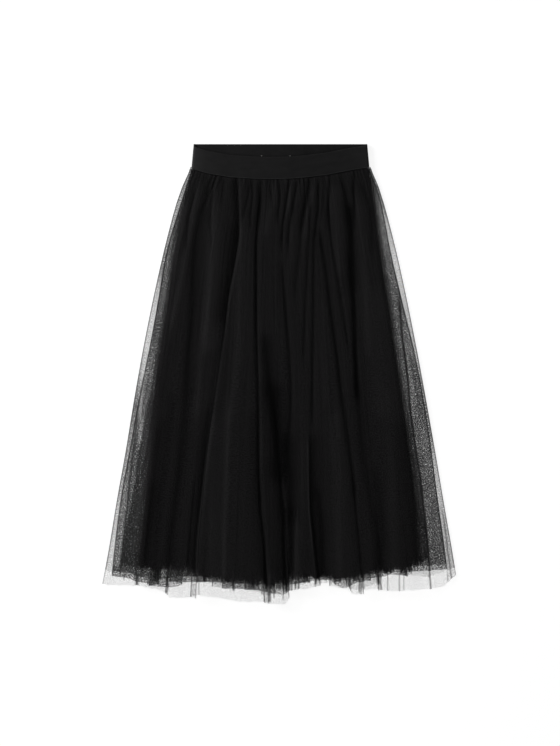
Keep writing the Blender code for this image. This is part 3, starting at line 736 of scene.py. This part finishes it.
def net_layer(node, edges, hem, folds, shift, seed):
    """One of the other nets: flatter, with fold-overs and a raw hem of its own."""
    front = node.endswith("front")
    x, drop, share, down = cloth_grid(edges, front, hem)
    x, lift = fold_over(x, drop, folds)
    ripple = streaks(share, down, seed + 20)
    layer = node.replace("tulle_", "")
    z = (front_base(x, drop, layer) if front else LAYER_Z[layer]) + lift + NET_RIPPLE * ripple
    # Painted shading of the folds, the back's the other way round, with a little painted shading along the
    # fine ripples.
    painted_shading = painted_fold_shading(side_seen(x, front), drop, share, down) * (1.0 + 0.06 * ripple)
    creases = [turning_creases(x), edge_lines(x, edges, drop)]
    if edges == "inner":
        layers = inner_layers(x, drop, share, folds, seed)
        creases += [shown_line(x, drop, fold.line, fold.cover) for fold in SIDE_FOLDS]
    else:
        layers = outer_layers(x, drop, share, seed + 60, 0.2, seed, 30)
    lay_net(node, (x, drop, z), painted_shading, creases, layers, shift)


def lining_layer(node, hem, material, seed):
    front = node.endswith("front")
    x, drop, share, down = cloth_grid("lining", front, hem)
    z = LAYER_Z[node] + LINING_RIPPLE * streaks(share, down, seed + 40, 22.0)
    by_side = smooth(inside_by("lining", x, drop) / 4.0 + 0.3)
    solid = np.where(down < 30.0, 1.0, by_side) * smooth((drop[-1:, :] - drop) / 9.0 + 0.1)
    # Painted shading of the folds, the back's the other way round.
    values = {"solid": solid, "painted_shading": painted_fold_shading(side_seen(x, front), drop, share, down)}
    lay_sheet(node, "_knit", (x, drop, z), values, material)


def feed(tree, node, inputs):
    """Sets a node's inputs, by name or number, to values or to what other nodes give."""
    for key, value in inputs.items():
        if isinstance(value, bpy.types.NodeSocket):
            tree.links.new(value, node.inputs[key])
        else:
            node.inputs[key].default_value = value


def new_material(name, roughness, specular=0.5):
    material = bpy.data.materials.new(name)
    material.use_nodes = True
    tree = material.node_tree
    shader = tree.nodes["Principled BSDF"]
    feed(tree, shader, {"Roughness": roughness, "Specular IOR Level": specular})
    return material, tree, shader


def calc(tree, operation, first, second=0.0, clamp=False):
    node = tree.nodes.new("ShaderNodeMath")
    node.operation = operation
    node.use_clamp = clamp
    feed(tree, node, {0: first, 1: second})
    return node.outputs[0]


def times(tree, first, second):
    return calc(tree, "MULTIPLY", first, second)


def one_minus(tree, value):
    return calc(tree, "SUBTRACT", 1.0, value, clamp=True)


def vector_calc(tree, operation, first, second):
    node = tree.nodes.new("ShaderNodeVectorMath")
    node.operation = operation
    feed(tree, node, {0: first, 1: second})
    return node.outputs["Value" if operation == "DOT_PRODUCT" else "Vector"]


def painted(tree, name):
    """What the mesh says at each point under a name."""
    node = tree.nodes.new("ShaderNodeAttribute")
    node.attribute_name = name
    return node.outputs["Fac"]


def cloth_coordinates(tree):
    """The sheet's own coordinates in millimetres, across and down."""
    uv = tree.nodes.new("ShaderNodeUVMap")
    uv.uv_map = "cloth"
    return vector_calc(tree, "MULTIPLY", uv.outputs["UV"], (1000.0, 1000.0, 1000.0))


def ramp(tree, value, from_low, from_high, to_low, to_high):
    """Smooth step of a value between two ends."""
    node = tree.nodes.new("ShaderNodeMapRange")
    node.interpolation_type = "SMOOTHSTEP"
    feed(tree, node, {0: value, 1: from_low, 2: from_high, 3: to_low, 4: to_high})
    return node.outputs["Result"]


def hexagon_net(tree, coordinates):
    """1 on the threads of a six-sided net and 0 in its holes."""
    reach = 2.0 * math.pi / (NET_PITCH * math.cos(math.radians(30.0)))
    total = 0.0
    for turn in range(3):
        angle = math.radians(30.0 + 120.0 * turn)
        way = (math.cos(angle) * reach, math.sin(angle) * reach, 0.0)
        wave = calc(tree, "COSINE", vector_calc(tree, "DOT_PRODUCT", coordinates, way))
        total = calc(tree, "ADD", total, wave)
    return ramp(tree, total, -0.8, -1.2, 0.0, 1.0)


def noise(tree, coordinates, scale, detail):
    node = tree.nodes.new("ShaderNodeTexNoise")
    feed(tree, node, {"Vector": coordinates, "Scale": scale, "Detail": detail})
    return node.outputs["Fac"]


def stretched_noise(tree, coordinates, across, down, detail=3.0):
    """Noise in cloth coordinates whose grains measure across by down millimetres."""
    stretched = vector_calc(tree, "MULTIPLY", coordinates, (1.0 / across, 1.0 / down, 1.0))
    return noise(tree, stretched, 1.0, detail)


def mixed_colour(tree, factor, dark, light):
    mix = tree.nodes.new("ShaderNodeMix")
    mix.data_type = "RGBA"
    feed(tree, mix, {"Factor": factor, "A": dark, "B": light})
    return mix.outputs["Result"]


def add_bump(tree, shader, height, strength, distance):
    bump = tree.nodes.new("ShaderNodeBump")
    feed(tree, bump, {"Height": height, "Strength": strength, "Distance": distance})
    feed(tree, shader, {"Normal": bump.outputs["Normal"]})


# Colours of the net in painted shade and in painted light.
NET_PAINTED_SHADE = (0.002, 0.002, 0.0021, 1.0)
NET_PAINTED_LIGHT = (0.0252, 0.0246, 0.0253, 1.0)
NET_PITCH = 1.7
NET_THREAD_COVER = 0.9
NET_CREASE_COVER = 0.6
NET_LAYER_COVER = 0.2
NET_GRAIN = (0.22, 1.78)
NET_GRAIN_SIZE = (1.95, 2.05)
NET_STREAK = (0.86, 1.14)
NET_STREAK_SIZE = (6.0, 170.0)


def net_material(name, shift):
    """Black net: thin threads round open holes, denser where layers gather and along its folds' edges."""
    material, tree, shader = new_material(name, 0.7, 0.05)
    place = vector_calc(tree, "ADD", cloth_coordinates(tree), (shift, shift * 0.37, 0.0))
    grain = ramp(tree, stretched_noise(tree, place, *NET_GRAIN_SIZE, 1.0), 0.3, 0.7, *NET_GRAIN)
    streak = ramp(tree, stretched_noise(tree, place, *NET_STREAK_SIZE), 0.35, 0.65, *NET_STREAK)
    uneven = times(tree, grain, streak)
    thread = times(tree, hexagon_net(tree, place), NET_THREAD_COVER)
    first_open = one_minus(tree, times(tree, thread, uneven))
    layer_open = one_minus(tree, times(tree, uneven, NET_LAYER_COVER))
    more_open = calc(tree, "POWER", layer_open, painted(tree, "layers"))
    crease_open = one_minus(tree, times(tree, painted(tree, "crease"), NET_CREASE_COVER))
    shown = times(tree, times(tree, first_open, more_open), crease_open)
    # The net's colour goes from painted shade to painted light by the painted shading.
    colour = mixed_colour(tree, painted(tree, "painted_shading"), NET_PAINTED_SHADE, NET_PAINTED_LIGHT)
    feed(tree, shader, {"Alpha": one_minus(tree, shown), "Base Color": colour})
    return material


def lining_material():
    """Thin black knit that opens to its threads at its hem and sides."""
    material, tree, shader = new_material("lining_knit", 0.85, 0.1)
    coordinates = cloth_coordinates(tree)
    thread = hexagon_net(tree, coordinates)
    # Painted shading of the folds, varied by long streaks of noise, sets the knit's colour between painted
    # shade and painted light.
    painted_shading = times(tree, painted(tree, "painted_shading"), stretched_noise(tree, coordinates, 8.0, 120.0))
    colour = mixed_colour(tree, painted_shading, (0.003, 0.003, 0.0032, 1.0), (0.009, 0.009, 0.0094, 1.0))
    solid = painted(tree, "solid")
    meshed = times(tree, calc(tree, "ADD", thread, 0.55), solid)
    cover = calc(tree, "MAXIMUM", meshed, calc(tree, "POWER", solid, 3.0), clamp=True)
    feed(tree, shader, {"Alpha": cover, "Base Color": colour})
    add_bump(tree, shader, thread, 0.3, 0.0004)
    return material


RIB_PITCH = 1.3
KNIT_PITCH = 1.0


def elastic_material():
    """Woven elastic: fine ribs along the band, crossed by a finer knit."""
    material, tree, shader = new_material("elastic_rib", 0.85, 0.15)
    coordinates = cloth_coordinates(tree)
    split = tree.nodes.new("ShaderNodeSeparateXYZ")
    feed(tree, split, {0: coordinates})
    rib = calc(tree, "SINE", times(tree, split.outputs["Y"], 2.0 * math.pi / RIB_PITCH))
    knit = calc(tree, "SINE", times(tree, split.outputs["X"], 2.0 * math.pi / KNIT_PITCH))
    weave = calc(tree, "ADD", rib, times(tree, knit, 0.5))
    cloud = stretched_noise(tree, coordinates, 22.0, 9.0)
    shade = calc(tree, "ADD", cloud, times(tree, weave, 0.12), clamp=True)
    woven = mixed_colour(tree, shade, (0.0085, 0.0085, 0.0088, 1.0), (0.0165, 0.0162, 0.0166, 1.0))
    # The woven colour in painted light and shade, from the band's painted light.
    woven_with_painted_light = vector_calc(tree, "MULTIPLY", woven, painted(tree, "painted_shading"))
    feed(tree, shader, {"Base Color": woven_with_painted_light})
    add_bump(tree, shader, weave, 0.5, 0.0003)
    return material


def thread_material(name, colour):
    material, tree, shader = new_material(name, 0.6)
    coordinates = tree.nodes.new("ShaderNodeTexCoord").outputs["Object"]
    dark = tuple(part * 0.6 for part in colour[:3]) + (1.0,)
    feed(tree, shader, {"Base Color": mixed_colour(tree, noise(tree, coordinates, 900.0, 2.0), dark, colour)})
    return material


# Painted light and shade on the elastic against its middle, along the front and inside the back, with painted
# highlights at its rounded ends: (across, painted light).
BAND_FRONT_PAINTED_LIGHT = np.array((
    (-152, 2.5), (-146, 2.4), (-138, 1.95), (-129, 1.55), (-112, 1.3), (-68, 1.2), (-20, 1.13), (36, 1),
    (124, 1.06), (148, 1.3), (153, 1.5),
))
BAND_INSIDE_PAINTED_LIGHT = np.array((
    (-152, 2.8), (-147, 2.6), (-143, 1.6), (-138, 1.2), (-129, 1.1), (0, 1.08), (36, 0.95), (46, 0.8),
    (62, 0.92), (88, 0.8), (141, 1.05), (150, 1.5),
))
SEAM_SHADE = 0.45
SEAM_SHADE_FROM = 0.95
INSIDE_SHADE = 0.35
INSIDE_SHADE_REACH = 5.0

BAND_STEPS = 150
BAND_FOLD_STEPS = 16
BAND_ROWS = 24
BAND_ROUND = 0.8
BAND_CORNER = (0.55, 0.3)
BAND_TURN = (BAND_HEIGHT - BAND_WALL) / 2


def fold_arc(x, dip, start):
    """Points of the half circle in which the wall turns round at one side, from an angle in half turns."""
    arc = []
    for step in range(1, BAND_FOLD_STEPS):
        angle = math.pi * (start - step / BAND_FOLD_STEPS)
        out = math.cos(angle)
        up = math.sin(angle)
        arc.append((x + BAND_TURN * out, BAND_HEIGHT / 2 + BAND_TURN * up, out, up, dip * max(0.0, up)))
    return arc


def band_path():
    """Middle line of the ring's wall: x, z, outward x, outward z and dip, all round."""
    radius = BAND_HEIGHT / 2
    xs = np.linspace(BAND_LEFT + radius, BAND_RIGHT - radius, BAND_STEPS)
    dips = read(BAND_DIP, xs)
    path = [(x, radius + BAND_TURN, 0.0, 1.0, dip) for x, dip in zip(xs, dips)]
    path += fold_arc(xs[-1], dips[-1], 0.5)
    path += [(x, radius - BAND_TURN, 0.0, -1.0, 0.0) for x in xs[::-1]]
    return path + fold_arc(xs[0], dips[0], 1.5)


def wall_section():
    """Closed outline of the band's wall: (out from the middle, share down), with rounded edges."""
    half = BAND_WALL / 2
    edge_share = BAND_ROUND / BAND_DEPTH
    corner = (half * BAND_CORNER[0], 1.0 - edge_share * BAND_CORNER[1])
    section = [(half, share) for share in np.linspace(edge_share, 1.0 - edge_share, BAND_ROWS)]
    section += [corner, (0.0, 1.0), (-corner[0], corner[1])]
    return section + [(-out, 1.0 - share) for out, share in section]


def painted_band_light(x, drop, share, faces_front):
    """Painted light at one point of the band: painted highlights at its ends, painted shade along the seam at
    its foot and inside its back.
    """
    if faces_front:
        return read(BAND_FRONT_PAINTED_LIGHT, x) * (1.0 - SEAM_SHADE * smooth((share - SEAM_SHADE_FROM) * 40.0))
    above_front = (read(BAND_DIP, x) - drop) / INSIDE_SHADE_REACH
    return read(BAND_INSIDE_PAINTED_LIGHT, x) * (1.0 - INSIDE_SHADE * smooth(1.0 - above_front))


def band_object(name, mesh, material):
    """Object of the band, or of threads on it, from its mesh."""
    data = bpy.data.meshes.new(name)
    mesh.to_mesh(data)
    mesh.free()
    data.materials.append(material)
    item = new_object(name, data)
    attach(item, "root")
    return item


def waistband(material):
    """Flattened ring of elastic, its front edge dipped at the middle."""
    path = band_path()
    section = wall_section()
    mesh = bmesh.new()
    uv = mesh.loops.layers.uv.new("cloth")
    painted_shading = mesh.verts.layers.float.new("painted_shading")
    places = {}
    rings = []
    run = 0.0
    for i, (x, z, out_x, out_z, dip) in enumerate(path):
        if i:
            run += math.hypot(x - path[i - 1][0], z - path[i - 1][1])
        ring = []
        for out, share in section:
            flare = 1.0 + (BAND_FLARE - 1.0) * share
            across = BAND_CENTRE + (x + out * out_x - BAND_CENTRE) * flare
            drop = dip + BAND_DEPTH * share
            vert = mesh.verts.new((across * MM, (LENGTH / 2 - drop) * MM, (z + out * out_z) * MM))
            places[vert] = (run * MM, BAND_DEPTH * share * MM)
            # Painted light and shade of the band at this point.
            vert[painted_shading] = painted_band_light(across, drop, share, z > BAND_HEIGHT / 2)
            ring.append(vert)
        rings.append(ring)
    for ring, ahead in zip(rings, rings[1:] + rings[:1]):
        for side in range(len(section)):
            other = (side + 1) % len(section)
            face = mesh.faces.new((ring[side], ring[other], ahead[other], ahead[side]))
            face.smooth = True
            for loop in face.loops:
                loop[uv].uv = places[loop.vert]
    item = band_object("waistband_elastic", mesh, material)
    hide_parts("waistband")


STITCH_PITCH = 3.1
STITCH_LENGTH = 2.3
STITCH_RADIUS = 0.34
STITCH_SIDES = 6
STITCH_FROM_EDGE = 1.6
STITCH_RISE = 0.1
UP = np.array((0.0, 0.0, 1.0))


def add_stitch(mesh, start, end, radius):
    """One short thread, thick in the middle and thin where it enters the cloth."""
    rings = []
    axis = np.subtract(end, start)
    side = np.cross(axis / np.linalg.norm(axis), UP)
    for share, swell in ((0.0, 0.3), (0.2, 0.85), (0.5, 1.0), (0.8, 0.85), (1.0, 0.3)):
        centre = np.add(start, axis * share)
        ring = []
        for step in range(STITCH_SIDES):
            angle = 2.0 * math.pi * step / STITCH_SIDES
            offset = radius * swell * (math.cos(angle) * side + math.sin(angle) * UP)
            ring.append(mesh.verts.new(tuple((centre + offset) * MM)))
        rings.append(ring)
    for ring, ahead in zip(rings, rings[1:]):
        for step in range(STITCH_SIDES):
            other = (step + 1) % STITCH_SIDES
            mesh.faces.new((ring[step], ring[other], ahead[other], ahead[step])).smooth = True
    mesh.faces.new(rings[0][::-1])
    mesh.faces.new(rings[-1])


def stitched_object(name, mesh, material):
    bmesh.ops.recalc_face_normals(mesh, faces=mesh.faces)
    band_object(name, mesh, material)


def seam_stitches(material):
    """Line of stitches along the lower edge of the band's front."""
    mesh = bmesh.new()
    for x in np.arange(BAND_LEFT + 2.0, BAND_RIGHT, STITCH_PITCH):
        ends = []
        for place in (x, x + STITCH_LENGTH):
            y = LENGTH / 2 - band_bottom(place) + STITCH_FROM_EDGE
            ends.append((place, y, BAND_HEIGHT + STITCH_RISE))
        add_stitch(mesh, *ends, STITCH_RADIUS)
    stitched_object("waistband_stitches", mesh, material)


# Two small bar tacks inside the back of the band, just above the dipped front edge.
TACK_PLACES = (-31.3, 18.4)
TACK_DROP = 20.6
TACK_THREADS = 3
TACK_PITCH = 0.45
TACK_RADIUS = 0.2
TACK_RISE = 0.12


def back_tacks(material):
    mesh = bmesh.new()
    y = LENGTH / 2 - TACK_DROP
    z = BAND_WALL + TACK_RISE
    for place in TACK_PLACES:
        for thread in range(TACK_THREADS):
            x = place + TACK_PITCH * (thread - 0.5 * (TACK_THREADS - 1))
            add_stitch(mesh, (x, y + 0.8, z), (x + 0.15, y - 0.9, z), TACK_RADIUS)
    stitched_object("waistband_tacks", mesh, material)


def floor_material():
    material, tree, shader = new_material("pale_floor", 0.9, 0.0)
    white = (1.0, 1.0, 1.0, 1.0)
    grey = (0.3, 0.3, 0.3, 1.0)
    feed(tree, shader, {"Base Color": grey, "Emission Color": white, "Emission Strength": 0.86})
    return material


def build_stage():
    bpy.ops.mesh.primitive_plane_add(size=30.0, location=(0.0, 0.0, -0.0006))
    floor = bpy.context.object
    floor.name = "floor"
    floor.data.materials.append(floor_material())


def add_softbox(name, place, size, power):
    data = bpy.data.lights.new(name, "AREA")
    data.shape = "SQUARE"
    data.size = size
    data.energy = power
    lamp = new_object(name, data)
    lamp.location = place
    lamp.rotation_mode = "QUATERNION"
    lamp.rotation_quaternion = Vector(-np.array(place)).to_track_quat("-Z", "Y")


def build_light():
    world = bpy.data.worlds.new("studio")
    world.use_nodes = True
    background = world.node_tree.nodes["Background"]
    background.inputs["Color"].default_value = (1.0, 1.0, 1.0, 1.0)
    background.inputs["Strength"].default_value = 0.15
    bpy.context.scene.world = world
    add_softbox("key", (-4.2, 2.0, 2.1), 1.8, 235.0)
    add_softbox("fill", (2.2, -0.8, 2.6), 2.0, 8.0)


# The photo is 560 x 746 pixels at 1.75 mm each, and its middle lies by the skirt's.
PIXEL = 1.75
PHOTO_TALL = 746
CAMERA_AT = (0.9, 1.1)
LENS = 100.0
SENSOR = 36.0


def build_camera():
    data = bpy.data.cameras.new("camera")
    data.lens = LENS
    data.sensor_width = SENSOR
    data.clip_end = 100.0
    camera = new_object("camera", data)
    height = PHOTO_TALL * PIXEL * MM * LENS / SENSOR
    camera.location = (CAMERA_AT[0] * MM, CAMERA_AT[1] * MM, height)
    bpy.context.scene.camera = camera


def set_view():
    scene = bpy.context.scene
    scene.view_settings.view_transform = "Standard"
    scene.cycles.transparent_max_bounces = 64


def build_skirt():
    outer_front()
    hem = hem_at(INNER_HEM, 0.6, 5)
    net_layer("tulle_inner_front", "inner", hem, INNER_FRONT_FOLDS, 17.0, 5)
    hem = hem_at(INNER_HEM, 1.0, 7, BACK_RISE)
    net_layer("tulle_inner_back", "inner", hem, INNER_BACK_FOLDS, 29.0, 7)
    hem = hem_at(BACK_HEM, 1.0, 9, folds=OUTER_BACK_FOLDS)
    net_layer("tulle_outer_back", "outer", hem, OUTER_BACK_FOLDS, 41.0, 9)
    knit = lining_material()
    hem = hem_at(LINING_HEM, 2.0, 13, frayed=True)
    lining_layer("lining_front", hem, knit, 13)
    hem = hem_at(LINING_HEM, 2.0, 15, BACK_RISE, frayed=True)
    lining_layer("lining_back", hem, knit, 15)
    waistband(elastic_material())
    seam_stitches(thread_material("seam_thread", (0.045, 0.045, 0.046, 1.0)))
    back_tacks(thread_material("tack_thread", (0.36, 0.35, 0.34, 1.0)))


build_stage()
build_light()
build_camera()
set_view()
build_skirt()
